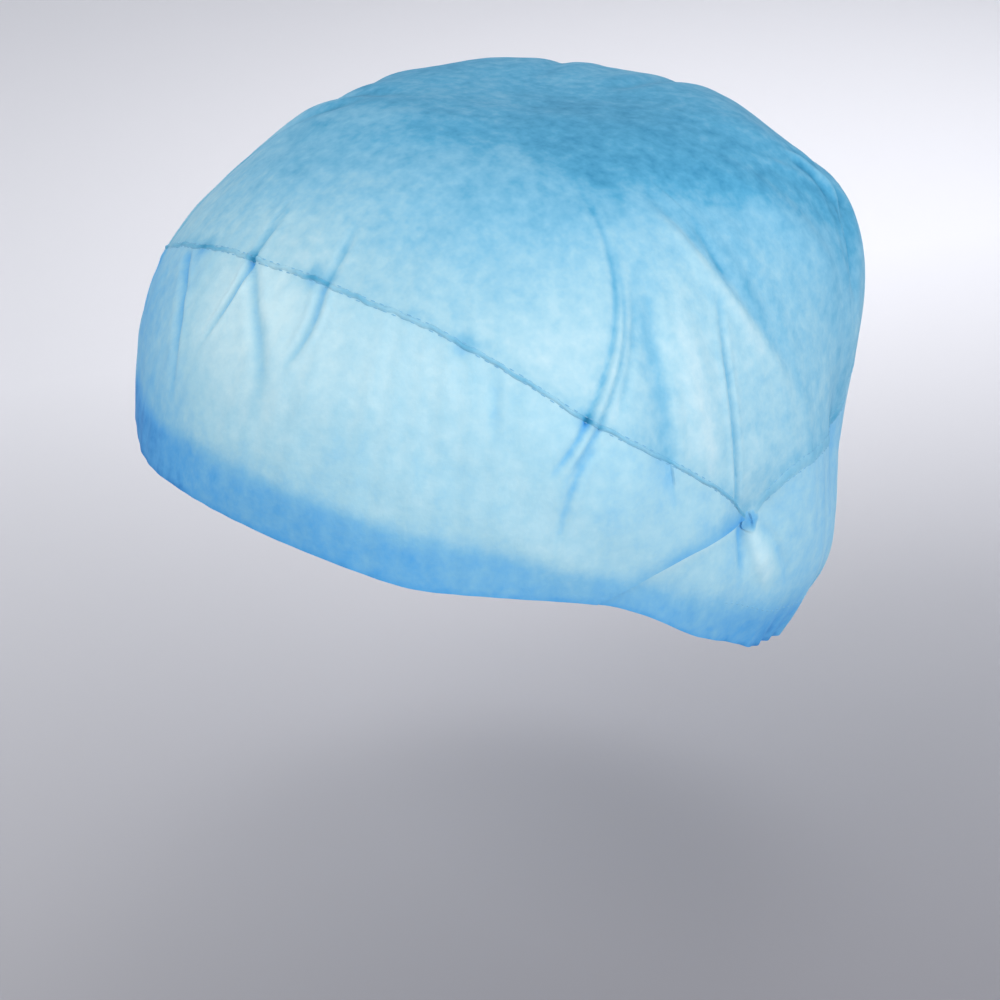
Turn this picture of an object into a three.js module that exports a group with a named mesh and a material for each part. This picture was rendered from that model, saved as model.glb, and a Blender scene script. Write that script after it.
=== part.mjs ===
// Disposable surgical cap of thin non-woven cloth, in the form it takes when worn.
// Millimetres. Front is -Y, the wearer's left is +X, up is +Z.
// The origin is the middle of the head opening, at the rim.
// Round is the angle from the front, positive to the wearer's left.
// Up is the angle above the middle of the hollow.
import * as THREE from 'three';

// Sizes of the worn form, measured from the middle of the hollow
const MIDDLE_HEIGHT = 18;
const HALF_WIDTH = 100;
const FRONT_REACH = 103;
const BACK_REACH = 116;
const CROWN_RISE = 100.5;
const NAPE_DROP = 110;
const MEAN_RADIUS = 105;

// Sizes of the cloth and the sewing
const WALL = 1.2;
const HEM_EXTRA = 0.9;
const HEM_HEIGHT = 15;
const CASING_HEIGHT = 10.5;
const TUCK_REACH = 15;
const SEAM_WIDTH = 1.8;
const SEAM_PROUD = 0.7;
const SEAM_EDGE_PROUD = 0.15;
const GAP = 0.3;
const LAP_STEP = 1.0;
const TACK_WIDE = 3;
const TACK_HIGH = 3.6;
const TACK_THICKNESS = 1.2;
const TACK_LIFT = 0.5;

// Where the brow band's slanting ends leave the rim and where they stop short of the tack, where the tack is
// and where the seams end beside it, degrees
const LAP_FOOT_ROUND = 57.5;
const LAP_HEAD_ROUND = 86;
const LAP_BOW = 1.8;
const LAP_FADE = 12;
const HEM_SHORT = 8;
const TACK_ROUND = 87.5;
const TACK_UP = 5;
const SEAM_END = 2.5;
const FRONT_END = TACK_ROUND - SEAM_END;
const BACK_START = TACK_ROUND + SEAM_END;

// Divisions of the faceted cloth. The back band's columns stand in line with those of its seam,
// with some more of them under each slanting end.
const CROWN_COLUMNS = 116;
const CROWN_ROWS = 13;
const FRONT_COLUMNS = 60;
const FRONT_ROWS = 7;
const BACK_ROWS = 6;
const BACK_SEAM_COLUMNS = 51;
const LAP_COLUMNS = 9;
const FOLD_STEPS = 14;
const TACK_SIDES = 10;

// Rim by angle round from the front: its angle up, and how far the elastic draws it in
const RIM = [
  { round: 0, up: 8.4, tuck: 0 },
  { round: 15, up: 7.3, tuck: 0 },
  { round: 30, up: 4.6, tuck: 0 },
  { round: 45, up: 3.4, tuck: 0 },
  { round: 58, up: 0.9, tuck: 0 },
  { round: 66, up: -3.4, tuck: 0 },
  { round: 76, up: -11, tuck: 0.5 },
  { round: 86, up: -17.2, tuck: 1 },
  { round: 95, up: -22.5, tuck: 1.5 },
  { round: 108, up: -26.3, tuck: 3 },
  { round: 130, up: -28, tuck: 6 },
  { round: 180, up: -28, tuck: 8 },
];

// Seam over the brow, from the middle of the front to the tack
const FRONT_SEAM = [
  { round: 0, up: 47 },
  { round: 15, up: 45.8 },
  { round: 30, up: 43 },
  { round: 45, up: 36.7 },
  { round: 57, up: 28.9 },
  { round: 70, up: 20.6 },
  { round: 80, up: 12.8 },
  { round: TACK_ROUND, up: TACK_UP },
];

// Seam round the back, from the tack to the middle of the back
const BACK_SEAM = [
  { round: TACK_ROUND, up: TACK_UP },
  { round: 93, up: 8.6 },
  { round: 99, up: 9.4 },
  { round: 107, up: 8.4 },
  { round: 115, up: 6.8 },
  { round: 135, up: 6 },
  { round: 180, up: 6 },
];

// How the cap sits a little askew: the slant of the rim, and where its lines ride up on the wearer's right
const RIM_SLANT = 1.5;
const RIM_LIFT = { round: -42, spread: 14, up: 1.3 };
const SEAM_LIFT = { round: -60, spread: 13, up: 2 };

// Soft swells of the slack cloth: where, how far they spread in degrees, how high in millimetres.
// Here and among the folds, both means that there is a like one on the other side.
const SWELLS = [
  { name: 'slack crown at the back left', round: 146, up: 37, spread: 27, height: 21.9 },
  { name: 'slack crown at the back right', round: -146, up: 37, spread: 27, height: 16.4 },
  { name: 'slack over the middle of the back', round: 180, up: 46, spread: 20, height: 4.2 },
  { name: 'hollow between the slack folds', round: 151, up: 39.7, spread: 8, height: -5.2 },
  { name: 'flat above the slack', round: 180, up: 60, spread: 28, height: -9.2 },
  { name: 'temple of the crown', round: 72, up: 40, spread: 30, height: 2.9, both: true },
  { name: 'fuller brow side', round: 57, up: 22, spread: 20, height: 3.5, both: true },
  { name: 'crown above the tack', round: 105, up: 54, spread: 18, height: 3, both: true },
  { name: 'flatter brow corner', round: 45, up: 8, spread: 26, height: -1.6, both: true },
  { name: 'waist at the back seam', round: 126, up: 2.9, spread: 15, height: -7.6, both: true },
  { name: 'band behind the tack', round: 116, up: -18, spread: 26, height: 5.3, both: true },
  { name: 'dimple at the tack', round: TACK_ROUND, up: TACK_UP, spread: 6, height: -3, both: true },
];

// Folds from their strong end: three points along each (round, up), half width and height in millimetres
const FOLDS = [
  { name: 'crown pleat', path: [[57.5, 29], [67.6, 42.5], [72.3, 59]], width: 5, height: 2.2, both: true },
  { name: 'temple hollow', path: [[70.3, 21.5], [72.2, 37.4], [81, 52]], width: 7, height: -1.8, both: true },
  { name: 'tack crease', path: [[83.5, 10.5], [86, 29], [93, 42.5]], width: 4.5, height: -1.8, both: true },
  { name: 'side ridge', path: [[90.5, 50], [94, 36.5], [101.5, 16]], width: 5.5, height: 2.2, both: true },
  { name: 'side slack', path: [[97.5, 50], [101, 36], [110, 18]], width: 6, height: -1.4, both: true },
  { name: 'back ridge', path: [[117, 47], [119, 34], [126, 26]], width: 8, height: 2, both: true },
  { name: 'slack crease', path: [[128, 27], [134, 34], [148, 40]], width: 5, height: -2.8, both: true },
  { name: 'back top dent', path: [[172, 58], [174, 47], [176, 34]], width: 5, height: -1.4 },
  { name: 'far back top dent', path: [[-160, 60], [-158, 48], [-156, 36]], width: 5, height: -1.2 },
  { name: 'far crown dent', path: [[-80, 62], [-79, 54], [-77, 44]], width: 5, height: -1.5 },
  { name: 'far crown dent behind', path: [[-94, 66], [-93, 57], [-91, 46]], width: 5, height: -1.5 },
  { name: 'far brow crease', path: [[-40.8, 36.8], [-29, 30.3], [-20.5, 19]], width: 4.5, height: -1.4 },
  { name: 'brow crease', path: [[-18.8, 45.8], [-17.2, 38.5], [-19, 28]], width: 4.5, height: -1.4 },
  { name: 'brow hollow', path: [[-17.8, 44.8], [-8.2, 38.3], [-0.5, 30]], width: 5, height: -1.3 },
  { name: 'brow crease above', path: [[-19, 46.4], [-20, 50.5], [-21.3, 56]], width: 4.5, height: -1.1 },
  { name: 'brow pleat', path: [[4.5, 45.6], [5.2, 38.8], [2.6, 32]], width: 4.5, height: -1.4 },
  { name: 'brow pleat above', path: [[4.8, 47], [4.4, 52], [3.6, 58]], width: 4.5, height: -1.1 },
  { name: 'band pleat', path: [[58, 28], [54.8, 24.5], [50.8, 20]], width: 4.5, height: 1.5, both: true },
  { name: 'band crease', path: [[57, 24], [53.2, 18], [50.8, 8]], width: 4.5, height: -1.1, both: true },
  { name: 'low crease', path: [[85.8, 3.4], [85.2, -1], [84.8, -6.5]], width: 4.5, height: -1.2, both: true },
  { name: 'low ridge', path: [[87.8, 2.2], [89, -2.8], [92, -9.5]], width: 5, height: 1.5, both: true },
];
const TWIN_SHARE = 0.8;
const FADE_RATE = 2.2;

// Gathers drawn up by the elastic and by the back seam: how many round, height and reach, and how much
// tuck, or how many degrees behind where they start, brings them to their full height
const RIM_GATHERS = { count: 24, height: 1.5, reach: 16, full: 5 };
const SEAM_GATHERS = { count: 26, height: 1.3, reach: 22, start: 104, full: 25 };

const RADIANS = Math.PI / 180;
const DEGREES_PER_MM = 180 / Math.PI / MEAN_RADIUS;
const bell = (away) => Math.exp(-away * away);
const signed = (turn) => (turn > 180 ? turn - 360 : turn);

// Value of one column of a table at an angle, smooth from row to row
function read(table, column, angle) {
  const last = table.length - 1;
  if (angle <= table[0].round) return table[0][column];
  if (angle >= table[last].round) return table[last][column];
  let i = 0;
  while (angle > table[i + 1].round) i += 1;
  const rate = (a, b) => (table[b][column] - table[a][column]) / (table[b].round - table[a].round);
  const slope = (k) => {
    if (k === 0) return table[0].round > 0 ? rate(0, 1) : 0;
    if (k === last) return table[last].round < 180 ? rate(last - 1, last) : 0;
    return rate(k - 1, k + 1);
  };
  const run = table[i + 1].round - table[i].round;
  const t = (angle - table[i].round) / run;
  const square = t * t;
  const cube = square * t;
  return table[i][column] * (2 * cube - 3 * square + 1) + table[i + 1][column] * (3 * square - 2 * cube)
    + run * (slope(i) * (cube - 2 * square + t) + slope(i + 1) * (cube - square));
}

function direction(round, up) {
  const level = Math.cos(up * RADIANS);
  return new THREE.Vector3(
    level * Math.sin(round * RADIANS),
    -level * Math.cos(round * RADIANS),
    Math.sin(up * RADIANS),
  );
}

// Heights of the edges, as angles up, by angle round on either side
const askew = (lift, round) => lift.up * bell((round - lift.round) / lift.spread);
const rimUp = (round) => {
  const slant = RIM_SLANT * Math.sin(round * RADIANS) * (1 + Math.cos(round * RADIANS)) / 2;
  return read(RIM, 'up', Math.abs(round)) - slant + askew(RIM_LIFT, round);
};
const seamUp = (round) => {
  const side = Math.abs(round);
  if (side > TACK_ROUND) return read(BACK_SEAM, 'up', side);
  return read(FRONT_SEAM, 'up', side) + askew(SEAM_LIFT, round);
};
const lapUp = (round) => {
  const foot = rimUp(round < 0 ? -LAP_FOOT_ROUND : LAP_FOOT_ROUND);
  const share = (Math.abs(round) - LAP_FOOT_ROUND) / (TACK_ROUND - LAP_FOOT_ROUND);
  return foot + (TACK_UP - foot) * share + LAP_BOW * Math.sin(Math.PI * share);
};

// Each fold becomes a bent line of points on the unit sphere, and a like fold opposite is a little weaker
function foldLine(fold, side) {
  const [first, middle, last] = fold.path.map(([round, up]) => direction(round * side, up));
  const pull = middle.multiplyScalar(2).addScaledVector(first, -0.5).addScaledVector(last, -0.5);
  const points = [];
  for (let k = 0; k <= FOLD_STEPS; k += 1) {
    const t = k / FOLD_STEPS;
    const p = first.clone().multiplyScalar((1 - t) * (1 - t));
    p.addScaledVector(pull, 2 * t * (1 - t)).addScaledVector(last, t * t);
    points.push({ p: p.normalize(), strength: Math.min(1, (1 - t) * FADE_RATE) });
  }
  return { points, width: fold.width, height: fold.height * (side < 0 ? TWIN_SHARE : 1) };
}

const sides = (row) => (row.both ? [1, -1] : [1]);
const LINES = FOLDS.flatMap((fold) => sides(fold).map((side) => foldLine(fold, side)));
const BUMPS = SWELLS.flatMap((swell) => sides(swell).map((side) => (
  { ...swell, p: direction(swell.round * side, swell.up) }
)));

// Height of all folds at one direction
function foldHeight(way) {
  let sum = 0;
  for (const line of LINES) {
    let best = -1;
    let strength = 0;
    for (const point of line.points) {
      const near = way.dot(point.p);
      if (near > best) {
        best = near;
        strength = point.strength;
      }
    }
    sum += line.height * strength * bell(Math.acos(Math.min(1, best)) * MEAN_RADIUS / line.width);
  }
  return sum;
}

// Pull of the elastic and the gathers it makes, near the rim and near the back seam
function gatherHeight(round, up) {
  const side = Math.abs(round);
  const turn = round * RADIANS;
  const overRim = (up - rimUp(round)) / DEGREES_PER_MM;
  const tuck = read(RIM, 'tuck', side);
  const drawn = Math.min(1, tuck / RIM_GATHERS.full);
  const wave = Math.cos(turn * RIM_GATHERS.count + 0.8 * Math.sin(3 * turn));
  const pulled = wave * RIM_GATHERS.height * drawn * bell(overRim / RIM_GATHERS.reach);
  const offSeam = (up - seamUp(round)) / DEGREES_PER_MM;
  const share = Math.min(1, Math.max(0, (side - SEAM_GATHERS.start) / SEAM_GATHERS.full));
  const pleats = Math.cos(turn * SEAM_GATHERS.count + 1.1 * Math.sin(2 * turn));
  const sewn = pleats * SEAM_GATHERS.height * share * bell(offSeam / SEAM_GATHERS.reach);
  return pulled + sewn - tuck * bell(overRim / TUCK_REACH);
}

// A point of the cloth: the egg of the worn form, its swells, folds and gathers, moved out by a lift
function cloth(round, up, lift) {
  const way = direction(round, up);
  const y = way.y < 0 ? way.y / FRONT_REACH : way.y / BACK_REACH;
  const z = way.z > 0 ? way.z / CROWN_RISE : way.z / NAPE_DROP;
  let reach = 1 / Math.hypot(way.x / HALF_WIDTH, y, z);
  for (const bump of BUMPS) {
    reach += bump.height * bell(Math.acos(Math.min(1, way.dot(bump.p))) / RADIANS / bump.spread);
  }
  reach += foldHeight(way) + gatherHeight(round, up) + lift;
  const point = way.multiplyScalar(reach);
  point.z += MIDDLE_HEIGHT;
  return point;
}

function solid(positions, faces) {
  const geometry = new THREE.BufferGeometry();
  geometry.setAttribute('position', new THREE.Float32BufferAttribute(positions, 3));
  geometry.setIndex(faces);
  geometry.computeVertexNormals();
  return geometry;
}

// Closed solid of a strip of cloth: a grid outside, the same grid inside, and walls round its edge
function strip(columns, rows, place) {
  const positions = [];
  const faces = [];
  const across = rows + 1;
  for (let i = 0; i <= columns; i += 1) {
    for (let j = 0; j <= rows; j += 1) {
      const spot = place(i / columns, j / rows);
      positions.push(...cloth(spot.round, spot.up, spot.outer).toArray());
      positions.push(...cloth(spot.round, spot.up, spot.inner).toArray());
    }
  }
  const at = (i, j, inner) => 2 * (i * across + j) + inner;
  const quad = (a, b, c, d) => faces.push(a, b, c, a, c, d);
  for (let i = 0; i < columns; i += 1) {
    for (let j = 0; j < rows; j += 1) {
      quad(at(i, j, 0), at(i + 1, j, 0), at(i + 1, j + 1, 0), at(i, j + 1, 0));
      quad(at(i, j, 1), at(i, j + 1, 1), at(i + 1, j + 1, 1), at(i + 1, j, 1));
    }
    quad(at(i, 0, 1), at(i + 1, 0, 1), at(i + 1, 0, 0), at(i, 0, 0));
    quad(at(i, rows, 0), at(i + 1, rows, 0), at(i + 1, rows, 1), at(i, rows, 1));
  }
  for (let j = 0; j < rows; j += 1) {
    quad(at(0, j, 0), at(0, j + 1, 0), at(0, j + 1, 1), at(0, j, 1));
    quad(at(columns, j, 1), at(columns, j + 1, 1), at(columns, j + 1, 0), at(columns, j, 0));
  }
  return solid(positions, faces);
}

// Closed solid of cloth in rings round one middle point, outside and inside
function rings(columns, rows, place) {
  const positions = [];
  const faces = [];
  for (const inner of [0, 1]) {
    for (let j = 0; j < rows; j += 1) {
      for (let i = 0; i < columns; i += 1) {
        const spot = place(i / columns, j / rows);
        positions.push(...cloth(spot.round, spot.up, inner ? spot.inner : spot.outer).toArray());
      }
    }
    const middle = place(0, 1);
    positions.push(...cloth(middle.round, middle.up, inner ? middle.inner : middle.outer).toArray());
  }
  const layer = rows * columns + 1;
  const at = (i, j, inner) => inner * layer + (j === rows ? rows * columns : j * columns + (i % columns));
  for (let i = 0; i < columns; i += 1) {
    for (let j = 0; j < rows; j += 1) {
      faces.push(at(i, j, 0), at(i + 1, j, 0), at(i + 1, j + 1, 0));
      faces.push(at(i, j, 1), at(i + 1, j + 1, 1), at(i + 1, j, 1));
      if (j < rows - 1) {
        faces.push(at(i, j, 0), at(i + 1, j + 1, 0), at(i, j + 1, 0));
        faces.push(at(i, j, 1), at(i, j + 1, 1), at(i + 1, j + 1, 1));
      }
    }
    faces.push(at(i, 0, 1), at(i + 1, 0, 1), at(i + 1, 0, 0));
    faces.push(at(i, 0, 1), at(i + 1, 0, 0), at(i, 0, 0));
  }
  return solid(positions, faces);
}

// Cloth edges keep clear of the seam bead by a small gap
const SEAM_CLEAR = (SEAM_WIDTH / 2 + GAP) * DEGREES_PER_MM;
const GAP_ANGLE = GAP * DEGREES_PER_MM;

function crown() {
  return rings(CROWN_COLUMNS, CROWN_ROWS, (u, v) => {
    const round = u * 360 - 180;
    const foot = seamUp(round) + SEAM_CLEAR;
    return { round, up: foot + (90 - foot) * v, outer: 0, inner: -WALL };
  });
}

function frontBand() {
  return strip(FRONT_COLUMNS, FRONT_ROWS, (u, v) => {
    const round = (2 * u - 1) * LAP_HEAD_ROUND;
    const side = Math.abs(round);
    const low = side < LAP_FOOT_ROUND ? rimUp(round) : lapUp(round) + GAP_ANGLE;
    const high = seamUp(round) - SEAM_CLEAR;
    const up = low + (high - low) * v;
    const hemmed = side < LAP_FOOT_ROUND - HEM_SHORT && (up - low) / DEGREES_PER_MM < HEM_HEIGHT;
    return { round, up, outer: 0, inner: -WALL - (hemmed ? HEM_EXTRA : 0) };
  });
}

function backBand() {
  const start = BACK_START - LAP_COLUMNS * (360 - 2 * BACK_START) / BACK_SEAM_COLUMNS;
  return strip(BACK_SEAM_COLUMNS + 2 * LAP_COLUMNS, BACK_ROWS, (u, v) => {
    const round = signed(start + (360 - 2 * start) * u);
    const side = Math.abs(round);
    const low = rimUp(round);
    const high = side < TACK_ROUND ? lapUp(round) - GAP_ANGLE : seamUp(round) - SEAM_CLEAR;
    const up = low + (high - low) * v;
    const cased = side > TACK_ROUND && (up - low) / DEGREES_PER_MM < CASING_HEIGHT;
    const under = LAP_STEP * Math.min(1, Math.max(0, 1 - (side - TACK_ROUND) / LAP_FADE));
    return { round, up, outer: -under, inner: -under - WALL - (cased ? HEM_EXTRA : 0) };
  });
}

function seamBead(start, end, columns) {
  return strip(columns, 2, (u, v) => {
    const round = signed(start + (end - start) * u);
    const up = seamUp(round) + (v - 0.5) * SEAM_WIDTH * DEGREES_PER_MM;
    return { round, up, outer: v === 0.5 ? SEAM_PROUD : SEAM_EDGE_PROUD, inner: -WALL };
  });
}

// Small stitched pinch lying on the cloth, thickest in its middle
function tack(side) {
  return rings(TACK_SIDES, 2, (u, v) => {
    const turn = u * 2 * Math.PI;
    const round = (TACK_ROUND + (1 - v) * TACK_WIDE * DEGREES_PER_MM * Math.cos(turn)) * side;
    const up = TACK_UP + (1 - v) * TACK_HIGH * DEGREES_PER_MM * Math.sin(turn) * side;
    return { round, up, outer: TACK_LIFT + TACK_THICKNESS * (1 + v) / 2, inner: TACK_LIFT };
  });
}

function piece(name, geometry, color) {
  const material = new THREE.MeshStandardMaterial({ color, roughness: 0.82, metalness: 0 });
  material.name = name;
  const mesh = new THREE.Mesh(geometry, material);
  mesh.name = name;
  return mesh;
}

const cap = new THREE.Group();
cap.name = 'surgical_cap';
cap.add(
  piece('crown', crown(), '#84bfdf'),
  piece('front_band', frontBand(), '#b0dcf1'),
  piece('back_band', backBand(), '#8fc8e7'),
  piece('front_seam', seamBead(-FRONT_END, FRONT_END, FRONT_COLUMNS), '#66a5cb'),
  piece('back_seam', seamBead(BACK_START, 360 - BACK_START, BACK_SEAM_COLUMNS), '#72b0d4'),
  piece('left_tack', tack(1), '#6faee2'),
  piece('right_tack', tack(-1), '#6faee2'),
);

export default cap;
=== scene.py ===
# Disposable surgical cap of thin blue non-woven cloth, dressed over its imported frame.
# Front is -Y, the left side as worn is +X, up is +Z. Tables and sizes are in millimetres and degrees:
# round is the angle from the front, positive to the left, and up the angle above the middle of the hollow.
import math
import bpy
import numpy as np
from mathutils import Matrix, Vector


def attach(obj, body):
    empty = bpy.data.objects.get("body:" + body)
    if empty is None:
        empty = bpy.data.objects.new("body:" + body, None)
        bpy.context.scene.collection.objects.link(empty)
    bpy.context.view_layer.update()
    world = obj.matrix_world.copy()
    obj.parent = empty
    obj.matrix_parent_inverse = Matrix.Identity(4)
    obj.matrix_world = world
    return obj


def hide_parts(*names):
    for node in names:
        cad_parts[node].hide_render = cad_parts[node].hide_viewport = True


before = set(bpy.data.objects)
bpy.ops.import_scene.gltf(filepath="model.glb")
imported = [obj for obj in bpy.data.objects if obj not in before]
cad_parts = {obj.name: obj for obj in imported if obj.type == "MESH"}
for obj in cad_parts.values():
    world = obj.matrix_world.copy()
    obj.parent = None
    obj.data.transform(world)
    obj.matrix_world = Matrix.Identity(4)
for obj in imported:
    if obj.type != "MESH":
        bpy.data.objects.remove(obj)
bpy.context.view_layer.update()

MM = 0.001


def table(columns, *rows):
    """Rows of values, each under the names of the columns."""
    return [dict(zip(columns.split(), row)) for row in rows]


# Sizes of the worn form, measured from the middle of the hollow
MIDDLE_HEIGHT = 18
HALF_WIDTH = 100
FRONT_REACH = 103
BACK_REACH = 116
CROWN_RISE = 100.5
NAPE_DROP = 110
MEAN_RADIUS = 105
DEGREES_PER_MM = 180 / math.pi / MEAN_RADIUS

# Sizes of the cloth and the sewing
CLOTH = 0.5
SEAM_GAP = 0.3
FRONT_WELT = dict(width=1.6, proud=0.4, blue=0.2)
BACK_WELT = dict(width=3.4, proud=0.22, blue=0.08)
THREAD = 0.28
STITCH_LENGTH = 1.9
STITCH_PITCH = 2.8
STITCH_LIFT = 0.08
CASING_STITCH_LIFT = 0.06
LAP_STEP = 0.8
LAP_UNDER = 5.0
LAP_FOOT_ROUND = 57.5
LAP_BOW = 1.8
TUCK_REACH = 15
TACK_ROUND, TACK_UP = 87.5, 5.0
TACK_WIDE, TACK_HIGH = 3.2, 3.8
TACK_PROUD, TACK_SUNK, TACK_DEEP = 0.55, 0.08, 1.2
RIM_SLANT = 1.5

# Rim by angle round from the front: its angle up, and how far the elastic draws it in
RIM = table(
    "round up tuck",
    (0, 8.4, 0), (15, 7.3, 0), (30, 4.6, 0), (45, 3.4, 0), (58, 0.9, 0), (66, -3.4, 0),
    (76, -11, 0.5), (86, -17.2, 1), (95, -22.5, 1.5), (108, -26.3, 3), (130, -28, 6), (180, -28, 8),
)

# Seams from the middle of the front to the tack, and from the tack to the middle of the back
FRONT_SEAM = table(
    "round up",
    (0, 47), (15, 45.8), (30, 43), (45, 36.7), (57, 28.9), (70, 20.6), (80, 12.8), (TACK_ROUND, TACK_UP),
)
BACK_SEAM = table(
    "round up",
    (TACK_ROUND, TACK_UP), (93, 8.6), (99, 9.4), (107, 8.4), (115, 6.8), (135, 6), (180, 6),
)

# Height of the doubled hem in front and of the elastic casing behind, and how softly its upper edge shows
DOUBLED = table(
    "round height blur",
    (0, 15, 2.6), (35, 15, 2.6), (48, 12, 2.6), (58, 9.5, 2.8), (64, 10, 3.5), (75, 12.5, 5), (82, 14.5, 6),
    (90, 15, 6), (100, 15, 6), (180, 14, 5),
)

# Where the cap sits a little askew, on its right side
SEAM_LIFT = dict(round=-60, spread=13, up=2)
RIM_LIFT = dict(round=-42, spread=14, up=1.3)

# Soft swells of the slack cloth: where, how far they spread in degrees, how high in millimetres
SWELLS = table(
    "name round up spread height both",
    ("slack crown at the back left", 146, 37, 27, 21.9, False),
    ("slack crown at the back right", -146, 37, 27, 16.4, False),
    ("slack over the middle of the back", 180, 46, 20, 4.2, False),
    ("hollow between the slack folds", 151, 39.7, 8, -5.2, False),
    ("flat above the slack", 180, 60, 28, -9.2, False),
    ("temple of the crown", 72, 40, 30, 2.9, True),
    ("fuller brow side", 57, 22, 20, 3.5, True),
    ("crown above the tack", 105, 54, 18, 3, True),
    ("flatter brow corner", 45, 8, 26, -1.6, True),
    ("waist at the back seam", 126, 2.9, 15, -7.6, True),
    ("band behind the tack", 116, -18, 26, 5.3, True),
    ("dimple at the tack", TACK_ROUND, TACK_UP, 6, -3, True),
)

# Folds: three points along each (round, up), half width to its left and right, height, the share of that
# height that turns the other way beside it, and the blue painted along it: deeper in the creases, partly for
# the cloth lying in layers and partly as painted shade, and paler on the ridges as painted light
FOLDS = table(
    "name path left right height lip blue both",
    ("crown pleat edge", ((57.2, 28.9), (68.6, 45.6), (74.6, 64.5)), 0.9, 0.9, -0.6, 0.4, 0.36, True),
    ("crown pleat outer edge", ((60, 29), (68, 41), (73.4, 54)), 0.8, 0.8, -0.4, 0.4, 0.24, True),
    ("crown pleat last edge", ((63.5, 30.5), (69.6, 40.3), (74, 48.5)), 0.8, 1.2, -0.3, 0.3, 0.14, True),
    ("crown pleat", ((58.6, 29.1), (67.3, 41.2), (72.2, 55)), 1.8, 1.8, 0.6, 0, -0.06, True),
    ("temple hollow", ((70.8, 21.5), (72.8, 37.4), (81.4, 53)), 5.5, 1.7, -1.1, 0.2, 0.25, True),
    ("tight beside the hollow", ((77.5, 20), (79, 35), (86.5, 50)), 4.2, 5, 0.6, 0, -0.16, True),
    ("tight before the side crease", ((90.5, 50), (94, 36.5), (101.5, 16)), 3, 3, 0.8, 0, -0.15, True),
    ("side crease", ((93, 54.5), (97.6, 35), (109, 11)), 3.4, 2.8, -0.75, 0, 0.15, True),
    ("side crease beside", ((95.6, 43), (96, 47.8), (97.2, 52)), 1, 1, -0.3, 0.4, 0.18, True),
    ("slack behind the side crease", ((97.5, 50), (101, 36), (110, 18)), 7, 3.5, -0.6, 0, 0.12, True),
    ("tack crease", ((83.5, 10.5), (86, 29), (93, 42.5)), 0.8, 0.8, -0.7, 0.5, 0.24, True),
    ("back ridge", ((117, 47), (119, 34), (126, 26)), 7, 7, 1.6, 0.2, 0, True),
    ("slack crease", ((128, 27), (134, 34), (148, 40)), 2.2, 2.8, -1.8, 0.3, 0.12, True),
    ("slack crease beside", ((126, 30), (131, 36.5), (137, 42)), 1.3, 1.3, -0.6, 0.4, 0.1, True),
    ("slack edge", ((135.5, 43), (133.8, 36), (130, 27.5)), 1.1, 1.1, 0.9, 0, -0.14, True),
    ("slack edge inside", ((133.4, 42.5), (131.9, 35.7), (128.2, 27.5)), 1, 1, -0.5, 0, 0.16, True),
    ("slack edge outside", ((137.6, 42), (136.6, 35.5), (133, 27.5)), 1.8, 1.8, -0.5, 0, 0.12, True),
    ("slack pull", ((131, 41.5), (128.6, 46.8), (125, 50.6)), 1.3, 1.3, 0.4, 0, -0.1, True),
    ("back top dent", ((172, 58), (174, 47), (176, 34)), 3, 3, -1.1, 0.3, 0.05, False),
    ("far back top dent", ((-160, 60), (-158, 48), (-156, 36)), 3, 3, -0.9, 0.3, 0.05, False),
    ("far crown dent", ((-80, 62), (-79, 54), (-77, 44)), 4, 4, -1.4, 0.2, 0.1, False),
    ("far crown dent behind", ((-94, 66), (-93, 57), (-91, 46)), 4, 4, -1.4, 0.2, 0.1, False),
    ("far brow crease", ((-40.8, 36.8), (-29, 30.3), (-20.5, 19)), 1.1, 1.6, -0.8, 0.4, 0.28, False),
    ("brow crease", ((-18.8, 45.8), (-17.2, 38.5), (-19, 28)), 0.9, 0.9, -0.7, 0.5, 0.36, False),
    ("brow crease branching", ((-17.8, 44.8), (-8.2, 38.3), (-0.5, 30)), 1.5, 1.8, -0.7, 0.4, 0.3, False),
    ("brow crease spreading", ((-4.5, 36.3), (-1, 30.2), (1.5, 23)), 2.4, 2.8, -0.5, 0.2, 0.15, False),
    ("brow crease above", ((-19, 46.4), (-20, 50.5), (-21.3, 56)), 0.9, 0.9, -0.5, 0.4, 0.24, False),
    ("brow crease above, beside", ((-20.2, 47.8), (-22.3, 52), (-25, 57)), 0.9, 0.9, -0.45, 0.4, 0.2, False),
    ("brow pleat", ((4.5, 45.6), (5.2, 38.8), (2.6, 32)), 1, 1.2, -0.7, 0.5, 0.3, False),
    ("brow pleat above", ((4.8, 47), (4.4, 52), (3.6, 58)), 1, 1, -0.5, 0.4, 0.26, False),
    ("brow tuck", ((42.7, 34), (42.5, 31), (42.3, 26)), 1.4, 1.4, -0.35, 0.3, 0.08, False),
    ("band pleat", ((57, 28.3), (54, 24.8), (50, 20.8)), 0.9, 0.9, -0.6, 0.5, 0.34, True),
    ("band pleat beside", ((59, 27.4), (56, 24.2), (52, 19.6)), 0.9, 0.9, -0.5, 0.5, 0.26, True),
    ("band pleat foot", ((57, 24), (53.2, 18), (50.8, 8)), 1, 1, -0.5, 0.5, 0.22, True),
    ("crease under the tack", ((85.8, 3.4), (85.2, -1), (84.4, -7.5)), 1.5, 2, -0.7, 0.3, 0.28, True),
    ("ridge under the tack", ((87.8, 2.2), (89, -2.8), (92, -9.5)), 4.2, 1.8, 1.2, 0.2, -0.2, True),
    ("crease behind the tack", ((91, 2), (94.5, -4), (98, -13)), 1.2, 1.6, -0.6, 0.3, 0.1, True),
)

# How much weaker a fold's twin is on the right side, how many points each fold has, how fast it dies out
# towards its last point, and in its own widths: how far it is felt, how softly it ends, and where its lips
# stand and how wide they are
TWIN_FOLD = 0.8
FOLD_STEPS = 60
FOLD_FADE = 2.2
FOLD_FELT = 5
FOLD_END = 2
LIP_PLACE, LIP_WIDTH = 2.4, 1.1
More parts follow.
